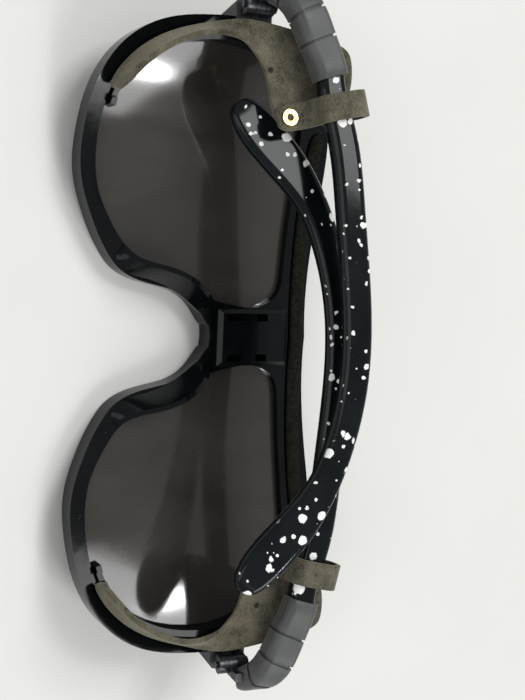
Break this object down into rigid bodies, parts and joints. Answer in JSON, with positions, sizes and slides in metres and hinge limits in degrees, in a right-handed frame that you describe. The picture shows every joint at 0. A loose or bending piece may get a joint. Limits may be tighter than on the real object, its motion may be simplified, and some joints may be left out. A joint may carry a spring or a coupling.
{
  "type": "glacier glasses",
  "caption": "Wrapped mountaineering glasses with dark lenses, ribbed hinged temples with paddle tips, and leather side shields looped on the temples.",
  "frame": {"origin": "middle of the object's footprint, on the surface that it lies on with its lenses down and its temples folded", "axes": "+X towards the wearer's right, +Y towards the brow, +Z back towards the wearer"},
  "size_m": [0.1479, 0.0586, 0.0389],
  "materials": {
    "frame_gloss_black": "glossy moulded black",
    "arm_gloss_black": "glossy black with a white paint splatter on the outer face",
    "carrier_black": "glossy springy black strip",
    "boot_grey": "matte dark grey, ribbed",
    "lens_tint": "dark brown-grey tint, smooth",
    "shield_leather": "olive-brown suede with small pits",
    "pad_leather": "dark olive, rough",
    "hinge_steel": "blackened steel",
    "core_steel": "plain drawn wire",
    "eyelet_brass": "worn plated brass"
  },
  "bodies": {
    "front": {"frame_front": "frame_gloss_black", "brow_pad": "pad_leather", "lens_left": "lens_tint", "hinge_leaf_left": "hinge_steel", "hinge_screw_left": "hinge_steel", "end_piece_left": "boot_grey", "shield_carrier_left": "carrier_black", "shield_band_left": "shield_leather", "lens_right": "lens_tint", "hinge_leaf_right": "hinge_steel", "hinge_screw_right": "hinge_steel", "end_piece_right": "boot_grey", "shield_carrier_right": "carrier_black", "shield_band_right": "shield_leather"},
    "temple_left": {"temple_leaf_left": "hinge_steel", "boot_left": "boot_grey", "core_wire_left": "core_steel", "temple_arm_left": "arm_gloss_black", "shield_loop_left": "shield_leather", "eyelet_left": "eyelet_brass", "shield_flap_left": "shield_leather"},
    "temple_right": {"temple_leaf_right": "hinge_steel", "boot_right": "boot_grey", "core_wire_right": "core_steel", "temple_arm_right": "arm_gloss_black", "shield_loop_right": "shield_leather", "eyelet_right": "eyelet_brass", "shield_flap_right": "shield_leather"}
  },
  "joints": [
    {"name": "temple_left_fold", "type": "hinge", "parent": "front", "child": "temple_left", "pos_m": [-0.069, 0.0029, 0.021], "axis": [0, -0.9903, -0.1392], "range_deg": [0, 92]},
    {"name": "temple_right_fold", "type": "hinge", "parent": "front", "child": "temple_right", "pos_m": [0.069, 0.0029, 0.021], "axis": [0, 0.9903, 0.1392], "range_deg": [0, 94]}
  ]
}
